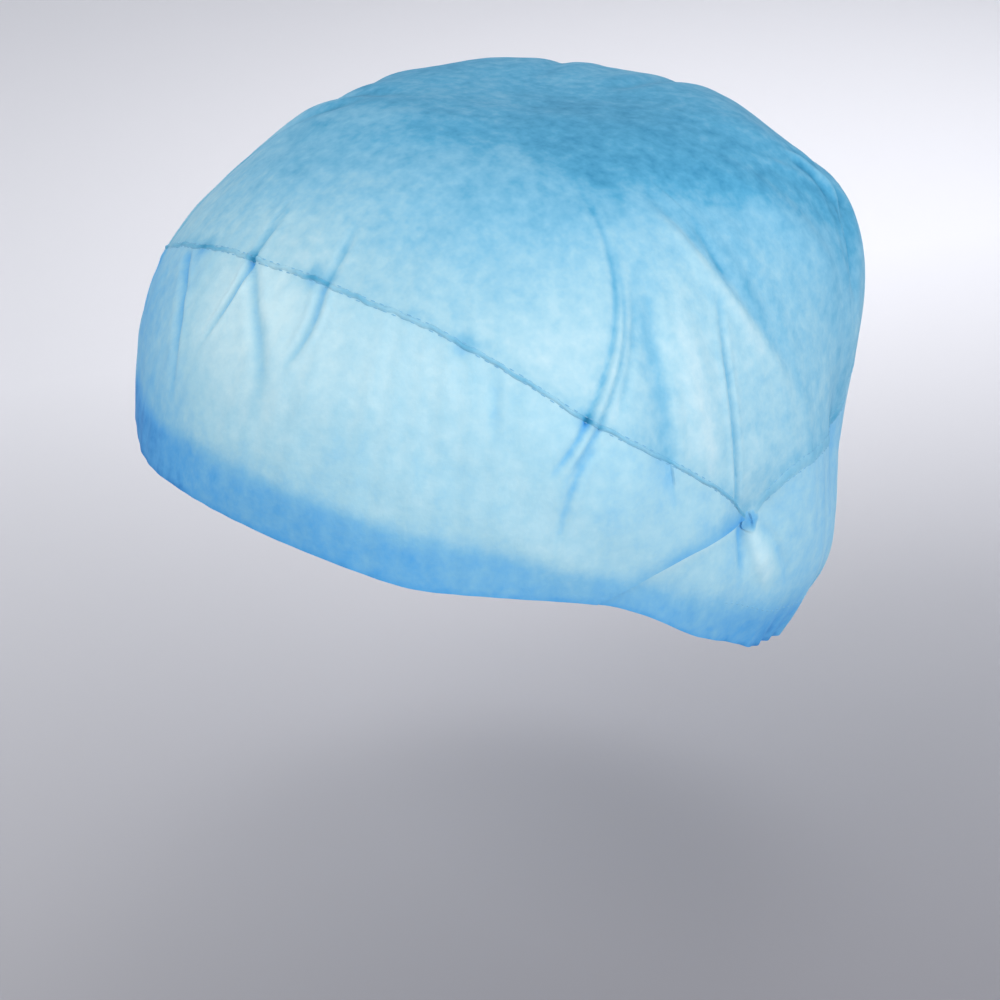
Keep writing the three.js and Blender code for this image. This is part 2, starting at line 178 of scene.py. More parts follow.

# Painted shade where the crown hangs loose off the hollow and shows deeper: up to a soft edge, how softly it
# begins there, up to a crisper edge where it hangs in folds, and how crisp that is
SLACK = table(
    "round soft blur crisp edge",
    (0, 62, 12, 76, 3.5), (30, 60, 11, 77, 3.5), (50, 58, 9, 77, 3.5), (62, 57, 8, 77, 3.5),
    (70, 57, 7, 73, 3.5), (75, 56, 6, 68.5, 3.5), (82, 56, 5, 63, 3.5), (90, 57, 4.5, 62, 3.5),
    (97, 54.5, 4.5, 61, 3.5), (102, 52, 4.5, 55.5, 3.5), (109, 48.5, 5.5, 51.3, 4), (117, 41, 6, 47, 4),
    (123, 35, 6, 41, 5), (130, 30, 8, 33, 7), (150, 26, 12, 29, 11), (180, 25, 14, 28, 13),
)

# Depth of the blue, 0 palest to 1 deepest: the plain cloth, and what is added by the painted shade of the
# slack crown, by the doubled hem and casing, by the lap (painted shade along its edge, where the cloth lies
# double, and a painted highlight below it), the edge of the rim, and the gathers: painted shade on the sunk
# side of each and painted light on its crest
PLAIN_BLUE = 0.28
SLACK_SHADE, CRISP_SHADE = 0.165, 0.19
HEM_BLUE, CASING_BLUE = 0.36, 0.34
LAP_LAYERS_AND_SHADE, LAP_EDGE_HIGHLIGHT = 0.3, -0.16
EDGE_BLUE, EDGE_REACH = 0.14, 1.2
GATHER_LIGHT_AND_SHADE = -0.065
TACK_BLUE = 0.66
SEAM_SHADE = dict(blue=0.1, reach=3.5)
BACK_SEAM_SHADE = dict(blue=0.08, reach=7)

# Soft spots of painted light and shade: paler where the cloth is drawn tight, deeper where it hangs loose and
# where it turns away on the far side; at the tucks the deeper blue is partly the cloth lying in layers
LIGHT_AND_SHADE_SPOTS = table(
    "name round up spread amount both",
    ("crown top", 0, 90, 26, 0.04, False),
    ("far crown top", -112, 70, 18, -0.13, False),
    ("far crown front", -28, 73, 13, 0.04, False),
    ("crown front", 15, 62, 20, 0.03, True),
    ("back top", 122, 66, 22, 0.16, True),
    ("slack back", 142, 42, 20, 0.02, True),
    ("back low", 126, 8, 20, 0.22, True),
    ("low behind the tack", 98, -22, 13, 0.17, True),
    ("over the temple", 42, 57, 15, 0.07, True),
    ("high over the temple", 48, 66, 9, 0.05, True),
    ("above the crown pleat", 78, 62.5, 8, 0.1, True),
    ("far crown side", -62, 52, 18, 0.1, False),
    ("beside the tack", 85.2, 6.6, 3.6, 0.16, True),
    ("hem at the temple", 52, 6, 8, -0.12, True),
    ("slack side", 119, 34, 12, 0.12, True),
    ("slack edge", 131, 31, 9, 0.12, True),
    ("crown side", 95, 46, 13, 0.08, True),
    ("behind the side crease", 110, 46, 6, 0.07, True),
    ("tight brow", -14, 40, 14, -0.3, False),
    ("tight brow middle", -4, 25, 12, -0.08, False),
    ("tight brow side", 36, 25, 15, -0.07, True),
    ("tight under the brow seam", 14, 38.5, 10, -0.16, False),
    ("tight under the seam beside it", 31, 37, 8, -0.09, False),
    ("tight temple", 82, 28, 16, -0.06, True),
    ("side behind the tack", 98, 15, 12, 0.06, True),
    ("tight under the crown pleat", 55, 38, 9, -0.12, True),
    # Painted shade on the far side of the brow and hem, where the cloth turns away
    ("far brow side", -50, 22, 20, 0.2, False),
    ("far hem corner", -36, 7, 27, 0.16, False),
    ("above the far hem corner", -24, 15, 9, 0.07, False),
    ("under the tack", 90, -4, 5, -0.04, True),
    ("tuck at the brow crease", -19.5, 45.6, 1.6, 0.2, False),
    ("tuck at the brow pleat", 0.8, 47.2, 1.8, 0.32, False),
    ("tuck over the temple", 37, 40.4, 1.8, 0.28, True),
    ("tuck at the crown pleat", 57, 28.9, 1.8, 0.24, True),
)

# Gathers drawn up by the elastic and by the back seam: how many round, height and reach, where they come to
# their full height, and how far and how many times round they stray from even spacing
RIM_GATHERS = dict(count=24, height=1.5, reach=18, full=5, strays=((0.8, 3),))
RUCHES = dict(count=74, height=1.1, reach=12, strays=((1.7, 5), (0.9, 11)))
SEAM_GATHERS = dict(count=26, height=1.3, reach=22, start=104, full=25, strays=((1.1, 2),))

# Unevenness of limp cloth: how high it stands, how it mottles the blue, and how it frays the slack's edges,
# each with its width in millimetres and the seed of its draw
LIMPNESS = table("amount size seed", (0.35, 46, 3), (0.12, 17, 5))
MOTTLING = table("amount size seed", (0.02, 28, 31), (0.015, 12, 33))
FRAYED_EDGE = table("amount size seed", (1.6, 13, 21))
RIPPLE_WAVES = 9
RIPPLE_STRAY = (0.6, 1.4)

# Upright streaks where the cloth hangs from the seams, dying out towards the top
STREAKS = dict(seed=17, count=8, least=24, most=95, bends=(1, 5), sway=1.5, begins=(0, 6), calm=3)
STREAK_TOP, STREAK_FADE = 62, 25
STREAK_HEIGHT, STREAK_BLUE = 0.07, 0.015


def along(rows, column, angle):
    """One column of a table at many angles, smooth from row to row."""
    angle = np.asarray(angle, float)
    at = np.array([row["round"] for row in rows], float)
    value = np.array([row[column] for row in rows], float)
    step = np.diff(value) / np.diff(at)
    slope = np.zeros(len(at))
    slope[1:-1] = (value[2:] - value[:-2]) / (at[2:] - at[:-2])
    slope[0] = step[0] if at[0] > 0 else 0
    slope[-1] = step[-1] if at[-1] < 180 else 0
    i = np.clip(np.searchsorted(at, angle) - 1, 0, len(at) - 2)
    run = at[i + 1] - at[i]
    t = np.clip((angle - at[i]) / run, 0, 1)
    keep = 2 * t**3 - 3 * t**2 + 1
    return (value[i] * keep + value[i + 1] * (1 - keep)
            + run * (slope[i] * (t**3 - 2 * t**2 + t) + slope[i + 1] * (t**3 - t**2)))


def bell(away):
    return np.exp(-np.square(away))


def rising(value):
    """From 0 to 1 as value goes from well under to well over nought."""
    return 1 / (1 + np.exp(-2 * np.clip(value, -20, 20)))


def ramp_up(value, start, run):
    """From 0 at the start to 1 at the end of the run."""
    return np.clip((value - start) / run, 0, 1)


def waves(rows, turn, wave=np.sin):
    return sum(row["amount"] * wave(turn * row["count"] + row["phase"]) for row in rows)


def spaced(gather, turn):
    """Crests and hollows of a row of gathers, unevenly spaced round the cap."""
    return np.cos(turn * gather["count"] + sum(far * np.sin(times * turn) for far, times in gather["strays"]))


def direction(around, up):
    around, up = np.broadcast_arrays(np.radians(around), np.radians(up))
    return np.stack([np.cos(up) * np.sin(around), -np.cos(up) * np.cos(around), np.sin(up)], -1)


def signed(turn):
    return np.where(turn > 180, turn - 360, turn)


def askew(lift, around):
    return lift["up"] * bell((around - lift["round"]) / lift["spread"])


def rim_up(around):
    around = np.asarray(around, float)
    turn = np.radians(around)
    slant = RIM_SLANT * np.sin(turn) * (1 + np.cos(turn)) / 2
    return along(RIM, "up", np.abs(around)) - slant + askew(RIM_LIFT, around)


def seam_up(around):
    around = np.asarray(around, float)
    side = np.abs(around)
    front = along(FRONT_SEAM, "up", side) + askew(SEAM_LIFT, around)
    return np.where(side < TACK_ROUND, front, along(BACK_SEAM, "up", side))


def lap_up(around):
    around = np.asarray(around, float)
    foot = rim_up(np.where(around < 0, -LAP_FOOT_ROUND, LAP_FOOT_ROUND))
    share = (np.abs(around) - LAP_FOOT_ROUND) / (TACK_ROUND - LAP_FOOT_ROUND)
    return foot + (TACK_UP - foot) * share + LAP_BOW * np.sin(math.pi * np.clip(share, 0, 1))


def mm_over(line, around, up):
    """Height over a line round the cap, in millimetres along the cloth."""
    return (up - line(around)) / DEGREES_PER_MM


def doubled(around, up):
    """1 where the cloth is turned up double along the rim, 0 above it."""
    side = np.abs(around)
    below_edge = along(DOUBLED, "height", side) - mm_over(rim_up, around, up)
    return rising(below_edge / along(DOUBLED, "blur", side))


def spots(rows, way, column):
    """Sum of the soft round spots of a table, at unit directions."""
    total = np.zeros(way.shape[:-1])
    for row in rows:
        for side in (1, -1) if row["both"] else (1,):
            away = np.degrees(np.arccos(np.clip(way @ direction(row["round"] * side, row["up"]), -1, 1)))
            total += row[column] * bell(away / row["spread"])
    return total


def fold_line(path, side):
    """Points along one fold on the unit sphere, the way across it, and how it dies out at its end."""
    first, middle, last = (direction(p[0] * side, p[1]) for p in path)
    handle = 2 * middle - 0.5 * first - 0.5 * last
    t = np.linspace(0, 1, FOLD_STEPS)[:, None]
    points = first * (1 - t) ** 2 + handle * 2 * t * (1 - t) + last * t**2
    points /= np.linalg.norm(points, axis=1, keepdims=True)
    across = np.cross(np.gradient(points, axis=0), points) * side
    across /= np.linalg.norm(across, axis=1, keepdims=True)
    return points, across, np.minimum(1, (1 - t[:, 0]) * FOLD_FADE)


def folds(way):
    """Height of all folds, and the deeper blue along them, at unit directions."""
    flat = way.reshape(-1, 3)
    height, blue = np.zeros(len(flat)), np.zeros(len(flat))
    for fold in FOLDS:
        for side in (1, -1) if fold["both"] else (1,):
            points, across, strength = fold_line(fold["path"], side)
            middle = points.mean(0) / np.linalg.norm(points.mean(0))
            reach = np.arccos(np.clip(points @ middle, -1, 1)).max()
            reach += FOLD_FELT * max(fold["left"], fold["right"]) / MEAN_RADIUS
            near = np.flatnonzero(flat @ middle > math.cos(reach))
            if not len(near):
                continue
            nearest = (flat[near] @ points.T).argmax(1)
            gap = (flat[near] - points[nearest]) * MEAN_RADIUS
            sideways = (gap * across[nearest]).sum(1)
            beyond = np.sqrt(np.maximum(0, (gap**2).sum(1) - sideways**2))
            width = np.where(sideways > 0, fold["right"], fold["left"])
            off = np.abs(sideways) / width
            fade = strength[nearest] * bell(beyond / (FOLD_END * width)) * (TWIN_FOLD if side < 0 else 1)
            lips = fold["lip"] * bell((off - LIP_PLACE) / LIP_WIDTH)
            height[near] += fold["height"] * fade * (bell(off) - lips)
            # Painted shade along the creases, where the cloth also lies in layers, and painted light along
            # the ridges
            blue[near] += fold["blue"] * fade * bell(off)
    return height.reshape(way.shape[:-1]), blue.reshape(way.shape[:-1])


def ripple(way, size, seed):
    """Soft unevenness about one unit high, as wide as size in millimetres."""
    draw = np.random.default_rng(seed)
    total = np.zeros(way.shape[:-1])
    for _ in range(RIPPLE_WAVES):
        heading = draw.normal(size=3)
        heading *= 2 * math.pi * MEAN_RADIUS / size / np.linalg.norm(heading) * draw.uniform(*RIPPLE_STRAY)
        total += np.sin(way @ heading + draw.uniform(0, 2 * math.pi))
    return total / math.sqrt(RIPPLE_WAVES)


def ripples(rows, way):
    return sum(row["amount"] * ripple(way, row["size"], row["seed"]) for row in rows)


def drape(around, up):
    """Faint upright streaks, about one unit high, where the cloth hangs from the seams."""
    draw = np.random.default_rng(STREAKS["seed"])
    turn = np.radians(around)
    total = 0
    for _ in range(STREAKS["count"]):
        times = draw.integers(STREAKS["least"], STREAKS["most"])
        bend = np.sin(np.radians(up) * draw.uniform(*STREAKS["bends"]) + draw.uniform(*STREAKS["begins"]))
        total = total + np.sin(turn * times + bend * STREAKS["sway"] + draw.uniform(*STREAKS["begins"]))
    return total / STREAKS["calm"] * np.clip((STREAK_TOP - up) / STREAK_FADE, 0, 1)


def pull(around, up):
    """How far the elastic draws the cloth in near the rim."""
    return along(RIM, "tuck", np.abs(around)) * bell(mm_over(rim_up, around, up) / TUCK_REACH)


def gathers(around, up):
    """Gathers that the elastic makes near the rim, and the back seam on either side of it."""
    side = np.abs(around)
    turn = np.radians(around)
    over_rim = mm_over(rim_up, around, up)
    drawn = np.minimum(1, along(RIM, "tuck", side) / RIM_GATHERS["full"])
    total = 0
    for gather in (RIM_GATHERS, RUCHES):
        total = total + spaced(gather, turn) * gather["height"] * drawn * bell(over_rim / gather["reach"])
    share = ramp_up(side, SEAM_GATHERS["start"], SEAM_GATHERS["full"])
    off_seam = bell(mm_over(seam_up, around, up) / SEAM_GATHERS["reach"])
    return total + spaced(SEAM_GATHERS, turn) * SEAM_GATHERS["height"] * share * off_seam


def cloth(around, up, lift=0.0):
    """Points of the worn cloth in metres, and the depth of its blue."""
    around, up = np.broadcast_arrays(np.asarray(around, float), np.asarray(up, float))
    way = direction(around, up)
    forward = np.where(way[..., 1] < 0, FRONT_REACH, BACK_REACH)
    rise = np.where(way[..., 2] > 0, CROWN_RISE, NAPE_DROP)
    egg = (way[..., 0] / HALF_WIDTH) ** 2 + (way[..., 1] / forward) ** 2 + (way[..., 2] / rise) ** 2
    fold, crease = folds(way)
    hang = drape(around, up)
    gather = gathers(around, up)
    reach = 1 / np.sqrt(egg) + spots(SWELLS, way, "height") + fold - pull(around, up) + gather
    reach = reach + ripples(LIMPNESS, way) + STREAK_HEIGHT * hang
    point = way * (reach + lift)[..., None]
    point[..., 2] += MIDDLE_HEIGHT
    side = np.abs(around)
    over = up + ripples(FRAYED_EDGE, way)
    # Painted shade where the crown hangs loose, deeper again past a crisper edge
    slack = SLACK_SHADE * rising((over - along(SLACK, "soft", side)) / along(SLACK, "blur", side))
    slack += CRISP_SHADE * rising((over - along(SLACK, "crisp", side)) / along(SLACK, "edge", side))
    # The spots add painted light and shade: paler on tight cloth, deeper on loose cloth
    blue = PLAIN_BLUE + slack + spots(LIGHT_AND_SHADE_SPOTS, way, "amount") + crease
    # Painted shade in the hollows of the gathers and painted light on their crests
    blue = blue + STREAK_BLUE * hang + GATHER_LIGHT_AND_SHADE * gather + ripples(MOTTLING, way)
    return point * MM, blue


# Angle in degrees from which an edge stays sharp
SHARP_EDGE = 50


def make(name, points, faces, material, blue=None):
    """A smooth-shaded mesh piece, with the depth of its blue kept at each point."""
    mesh = bpy.data.meshes.new(name)
    mesh.from_pydata([tuple(p) for p in points], [], faces)
    mesh.update()
    mesh.polygons.foreach_set("use_smooth", np.ones(len(mesh.polygons), bool))
    mesh.set_sharp_from_angle(angle=math.radians(SHARP_EDGE))
    if blue is not None:
        depth = mesh.attributes.new("blue", "FLOAT", "POINT")
        depth.data.foreach_set("value", np.clip(blue, 0, 1).astype(np.float32))
    mesh.materials.append(material)
    piece = bpy.data.objects.new(name, mesh)
    bpy.context.collection.objects.link(piece)
    return piece


def shell_faces(columns, rows, domed):
    """Faces of an outer and an inner grid joined round their edges: a strip, or a ring that ends in a tip."""
    layer = columns * rows + (1 if domed else 0)
    i = np.arange(columns if domed else columns - 1)
    j = np.arange(rows - 1)

    def spot(column, row, inner):
        return (column % columns) * rows + row + inner * layer

    faces = []
    for inner, way in ((0, 1), (1, -1)):
        a, b = np.meshgrid(i, j, indexing="ij")
        quad = (spot(a, b, inner), spot(a + 1, b, inner), spot(a + 1, b + 1, inner), spot(a, b + 1, inner))
        faces += np.stack(quad, -1).reshape(-1, 4)[:, ::way].tolist()
        if domed:
            tip = np.full(len(i), layer - 1 + inner * layer)
            fan = (spot(i, rows - 1, inner), spot(i + 1, rows - 1, inner), tip)
            faces += np.stack(fan, -1)[:, ::way].tolist()
    edges = [(spot(i, 0, 1), spot(i + 1, 0, 1), spot(i + 1, 0, 0), spot(i, 0, 0))]
    if not domed:
        top, end = rows - 1, columns - 1
        edges.append((spot(i, top, 0), spot(i + 1, top, 0), spot(i + 1, top, 1), spot(i, top, 1)))
        edges.append((spot(0, j, 0), spot(0, j + 1, 0), spot(0, j + 1, 1), spot(0, j, 1)))
        edges.append((spot(end, j, 1), spot(end, j + 1, 1), spot(end, j + 1, 0), spot(end, j, 0)))
    for edge in edges:
        faces += np.stack(edge, -1).tolist()
    return faces


def shell(name, outer, inner, shades, material, tips=None, tip_blue=0.0):
    """A closed piece of cloth from its outer and inner grids of points, and its two tips if it is domed."""
    points, blue = [], []
    for layer, grid in enumerate((outer, inner)):
        points.append(grid.reshape(-1, 3))
        blue.append(shades.ravel())
        if tips:
            points.append(tips[layer][None])
            blue.append([tip_blue])
    faces = shell_faces(*outer.shape[:2], tips is not None)
    return make(name, np.concatenate(points), faces, material, np.concatenate(blue))


def linear(code):
    """An sRGB hex colour as the linear colour that shaders take."""
    parts = [int(code[k:k + 2], 16) / 255 for k in (1, 3, 5)]
    return tuple(c / 12.92 if c <= 0.04045 else ((c + 0.055) / 1.055) ** 2.4 for c in parts) + (1.0,)


def node(material, kind, settings=None, **inputs):
    """Adds a node with its settings, and links or sets its inputs by name, or by place as _0, _1."""
    tree = material.node_tree
    made = tree.nodes.new(kind)
    for key, value in (settings or {}).items():
        setattr(made, key, value)
    for key, value in inputs.items():
        socket = made.inputs[int(key[1:])] if key[0] == "_" else made.inputs[key.replace("_", " ")]
        if isinstance(value, bpy.types.NodeSocket):
            tree.links.new(value, socket)
        else:
            socket.default_value = value
    return made


def new_material(name):
    material = bpy.data.materials.new(name)
    material.use_nodes = True
    material.node_tree.nodes.clear()
    return material


# Thermally bonded polypropylene fibre web: matt, lets some light through, cloudy where the fibres bunch,
# with fine strands and pressed bond points. Clouds and bonds are drawn about twice as coarse as the real
# web, so that they show at arm's length, and clouds show more in the slack crown.
FIBRE_CLOUD_MM = 4.0
FIBRE_STRAND_MM = 1.1
BOND_PITCH_MM = 2.2
BOND_DEPTH_MM = 0.25
BOND_SHARE = 0.5
LIGHT_THROUGH = 0.22
CROWN_CLOUDINESS = 1.4

# How far clouds and strands change the depth of the blue, and how much of that pale and deep cloth show
CLOUD_BLUE, STRAND_BLUE = 0.36, 0.09
PALE_SHOWS, DEEP_SHOWS_MORE = 0.75, 0.3


def spunbond(name, colours, cloudiness=1.0):
    material = new_material(name)
    place = node(material, "ShaderNodeTexCoord").outputs["Object"]
    depth = node(material, "ShaderNodeAttribute", dict(attribute_name="blue")).outputs["Fac"]
    clouds = node(material, "ShaderNodeTexNoise", Vector=place, Scale=1 / (FIBRE_CLOUD_MM * MM), Detail=2.0,
                  Roughness=0.6).outputs["Fac"]
    strands = node(material, "ShaderNodeTexNoise", Vector=place, Scale=1 / (FIBRE_STRAND_MM * MM), Detail=2.0,
                   Roughness=0.6).outputs["Fac"]
    bonds = node(material, "ShaderNodeTexVoronoi", Vector=place, Scale=1 / (BOND_PITCH_MM * MM),
                 Randomness=0.35).outputs["Distance"]
    scaled = dict(operation="MULTIPLY_ADD")
    cloud_blue = CLOUD_BLUE * cloudiness
    cloudy = node(material, "ShaderNodeMath", scaled, _0=clouds, _1=cloud_blue, _2=-cloud_blue / 2).outputs[0]
    stranded = node(material, "ShaderNodeMath", scaled, _0=strands, _1=STRAND_BLUE,
                    _2=-STRAND_BLUE / 2).outputs[0]
    uneven = node(material, "ShaderNodeMath", dict(operation="ADD"), _0=cloudy, _1=stranded).outputs[0]
    shows = node(material, "ShaderNodeMath", scaled, _0=depth, _1=DEEP_SHOWS_MORE, _2=PALE_SHOWS).outputs[0]
    shade = node(material, "ShaderNodeMath", dict(operation="MULTIPLY_ADD", use_clamp=True), _0=uneven,
                 _1=shows, _2=depth)
    ramp = node(material, "ShaderNodeValToRGB", Fac=shade.outputs[0])
    stops = ramp.color_ramp.elements
    while len(stops) < len(colours):
        stops.new(0.5)
    for k, code in enumerate(colours):
        stops[k].position = k / (len(colours) - 1)
        stops[k].color = linear(code)
    pressed = node(material, "ShaderNodeMath", scaled, _0=bonds, _1=BOND_SHARE, _2=strands).outputs[0]
    bump = node(material, "ShaderNodeBump", Height=pressed, Strength=0.25,
                Distance=BOND_DEPTH_MM * MM).outputs[0]
    skin = node(material, "ShaderNodeBsdfPrincipled", Base_Color=ramp.outputs["Color"], Roughness=0.75,
                IOR=1.49, Specular_IOR_Level=0.25, Sheen_Weight=0.05, Sheen_Roughness=0.5, Normal=bump)
    through = node(material, "ShaderNodeBsdfTranslucent", Color=ramp.outputs["Color"], Normal=bump)
    both = node(material, "ShaderNodeMixShader", _0=LIGHT_THROUGH, _1=skin.outputs[0], _2=through.outputs[0])
    node(material, "ShaderNodeOutputMaterial", Surface=both.outputs[0])
    return material


def spun_thread(name, colour):
    """Spun polyester sewing thread: matt, a little deeper than the cloth it is sewn through."""
    material = new_material(name)
    skin = node(material, "ShaderNodeBsdfPrincipled", Base_Color=linear(colour), Roughness=0.65, IOR=1.55)
    node(material, "ShaderNodeOutputMaterial", Surface=skin.outputs[0])
    return material


CROWN_BLUES = ("#cde9f2", "#acd9ea", "#87c6e3", "#59aed5", "#308ebb")
BAND_BLUES = ("#cdecf5", "#abdaec", "#84c6ea", "#5cb1eb", "#2886d3")
crown_cloth = spunbond("spunbond polypropylene, slack crown", CROWN_BLUES, CROWN_CLOUDINESS)
front_cloth = spunbond("spunbond polypropylene, brow band", BAND_BLUES)
back_cloth = spunbond("spunbond polypropylene, elasticated band", BAND_BLUES)
seam_cloth = spunbond("spunbond polypropylene, folded seam", CROWN_BLUES)
tack_cloth = spunbond("spunbond polypropylene, stitched pinch", BAND_BLUES)
thread = spun_thread("spun polyester thread, blue", "#79b4d6")


def dress(piece, cad_node):
    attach(piece, "root")
    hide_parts(cad_node)
    return piece


# Crown panel: points round and up it, closer together round the pleats and the slack folds, and near the seam
CROWN_COLUMNS, CROWN_ROWS = 600, 80
CROWDED = table("round spread amount", (78, 26, 1.6), (132, 9, 1.8))
CROWD_STEPS = 4001
ROW_CROWDING = 1.15


def crown():
    fine = np.linspace(-180, 180, CROWD_STEPS)
    crowd = 1 + sum(row["amount"] * bell((np.abs(fine) - row["round"]) / row["spread"]) for row in CROWDED)
    crowd = np.cumsum(crowd)
    share = (crowd - crowd[0]) / (crowd[-1] - crowd[0])
    around = np.interp(np.arange(CROWN_COLUMNS) / CROWN_COLUMNS, share, fine)[:, None]
    foot = seam_up(around) + SEAM_GAP * DEGREES_PER_MM
    up = foot + (90 - foot) * np.linspace(0, 1, CROWN_ROWS + 1)[None, :-1] ** ROW_CROWDING
    outer, blue = cloth(around, up)
    inner, _ = cloth(around, up, -CLOTH)
    over_seam = mm_over(seam_up, around, up)
    behind = np.abs(around) > TACK_ROUND
    blue = blue + SEAM_SHADE["blue"] * bell(over_seam / SEAM_SHADE["reach"])
    blue = blue + BACK_SEAM_SHADE["blue"] * bell(over_seam / BACK_SEAM_SHADE["reach"]) * behind
    tip, tip_blue = cloth(0.0, 90.0)
    tip_inside, _ = cloth(0.0, 90.0, -CLOTH)
    return shell("crown_panel", outer, inner, blue, crown_cloth, (tip, tip_inside), tip_blue)


def strip(name, around, low, high, rows, drop, tint, material):
    """A band of cloth between two lines round the cap, dropped under the surface and tinted by functions."""
    up = low[:, None] + (high - low)[:, None] * np.linspace(0, 1, rows)[None, :]
    around = np.broadcast_to(around[:, None], up.shape)
    thickness = CLOTH * (1 + doubled(around, up))
    outer, blue = cloth(around, up, -drop(around))
    inner, _ = cloth(around, up, -drop(around) - thickness)
    return shell(name, outer, inner, blue + tint(around, up), material)


# Bands: points round and up each, how far short of the tack and the lap's foot they end, in degrees, how
# low the brow band's corners run out, and how steeply the back band begins under the lap
FRONT_COLUMNS, FRONT_ROWS = 560, 66
BACK_COLUMNS, BACK_ROWS = 560, 66
BAND_END = 0.4
CORNER_HEIGHT = 0.05
UNDER_LAP_SLOPE = 0.25

# Lap: where round its painted shade along the edge begins and how soon it is full, how deep and how far up
# that goes, and the painted highlight in a line below the edge
LAP_SHADE = dict(start=62, run=8, full=1.1, reach=8)
LAP_BESIDE = dict(start=64, run=6, below=0.5, reach=1.6)

# Share of the lap's step at its foot, how soon in degrees it is whole, and how soon it is gone past the tack
LAP_FOOT_STEP = 0.4
LAP_GROWS = 12
LAP_GOES = 12


def rim_edge(around, up):
    return EDGE_BLUE * bell(mm_over(rim_up, around, up) / EDGE_REACH)


def front_band():
    end = TACK_ROUND - BAND_END
    around = np.linspace(-end, end, FRONT_COLUMNS)
    low = np.where(np.abs(around) < LAP_FOOT_ROUND, rim_up(around), lap_up(around))
    high = np.maximum(low + CORNER_HEIGHT, seam_up(around) - SEAM_GAP * DEGREES_PER_MM)

    def tint(a, u):
        # Painted shade along the lap's edge, over the cloth lying double where the brow band laps the back
        # band
        lapped = np.clip(LAP_SHADE["full"] - mm_over(lap_up, a, u) / LAP_SHADE["reach"], 0, 1) ** 2
        lapped = lapped * ramp_up(np.abs(a), LAP_SHADE["start"], LAP_SHADE["run"])
        return HEM_BLUE * doubled(a, u) + LAP_LAYERS_AND_SHADE * lapped + rim_edge(a, u)

    return strip("brow_band_panel", around, low, high, FRONT_ROWS, np.zeros_like, tint, front_cloth)


def lap_drop(around):
    """How far the back band lies under the surface: one step where the brow band laps over it."""
    side = np.abs(around)
    rise = LAP_FOOT_STEP + (1 - LAP_FOOT_STEP) * ramp_up(side, LAP_FOOT_ROUND, LAP_GROWS)
    return LAP_STEP * rise * (1 - ramp_up(side, TACK_ROUND, LAP_GOES))


def back_band():
    start = LAP_FOOT_ROUND + BAND_END
    around = signed(np.linspace(start, 360 - start, BACK_COLUMNS))
    side = np.abs(around)
    low = rim_up(around)
    under_lap = np.minimum(LAP_UNDER * DEGREES_PER_MM, UNDER_LAP_SLOPE * (side - start))
    seam = seam_up(around) - SEAM_GAP * DEGREES_PER_MM
    high = np.where(side < TACK_ROUND, np.minimum(lap_up(around) + under_lap, seam), seam)

    def tint(a, u):
        out = np.abs(a)
        # Painted highlight in a pale line just below the lap's edge
        beside = bell((mm_over(lap_up, a, u) + LAP_BESIDE["below"]) / LAP_BESIDE["reach"])
        beside = beside * ramp_up(out, LAP_BESIDE["start"], LAP_BESIDE["run"]) * (out < TACK_ROUND)
        return CASING_BLUE * doubled(a, u) + LAP_EDGE_HIGHLIGHT * beside + rim_edge(a, u)

    return strip("back_band_panel", around, low, high, BACK_ROWS, lap_drop, tint, back_cloth)


# Welts of the seams: points along each and across it, how it wanders, swells and changes blue along its
# length, and how it is flattened within a few degrees of the tacks
FRONT_WELT_COLUMNS, BACK_WELT_COLUMNS, WELT_ACROSS = 600, 640, 9
WELT_WANDER = table("amount count phase", (0.22, 37, 0), (0.16, 83, 1))
WELT_SWELLS = table("amount count phase", (0.2, 61, 0), (0.14, 143, 0))
WELT_PATCHES = table("amount count phase", (0.3, 9, 0.6), (0.25, 23, 2))
WELT_PATCHY = 0.75
WELT_BLUE = 0.1
WELT_FLAT = dict(reach=4, least=0.15)


def welt(name, start, end, count, size):
    """Rounded welt of a folded seam, a little uneven along its length."""
    around = np.linspace(start, end, count)[:, None]
    turn = np.radians(around)
    around = signed(around)
    across = np.linspace(-0.5, 0.5, WELT_ACROSS)[None, :]
    up = seam_up(around) + (across * size["width"] + waves(WELT_WANDER, turn)) * DEGREES_PER_MM
    rounded = 1 - (2 * np.abs(across)) ** 2
    flattened = np.clip(np.abs(np.abs(around) - TACK_ROUND) / WELT_FLAT["reach"], WELT_FLAT["least"], 1)
    outer, blue = cloth(around, up, size["proud"] * rounded * (1 + waves(WELT_SWELLS, turn)) * flattened)
    inner, _ = cloth(around, up, -CLOTH)
    patchy = WELT_PATCHY + waves(WELT_PATCHES, turn)
    return shell(name, outer, inner, blue + WELT_BLUE + size["blue"] * rounded * patchy, seam_cloth)


# Stitches: rings along each and sides round it, how much they thin towards the ends and how far those sink,
# in threads, and the steps in which a line of them is measured
STITCH_RINGS, STITCH_SIDES = 5, 6
STITCH_TAPER = 0.92
STITCH_SINK = 0.9
LINE_STEPS = 2000


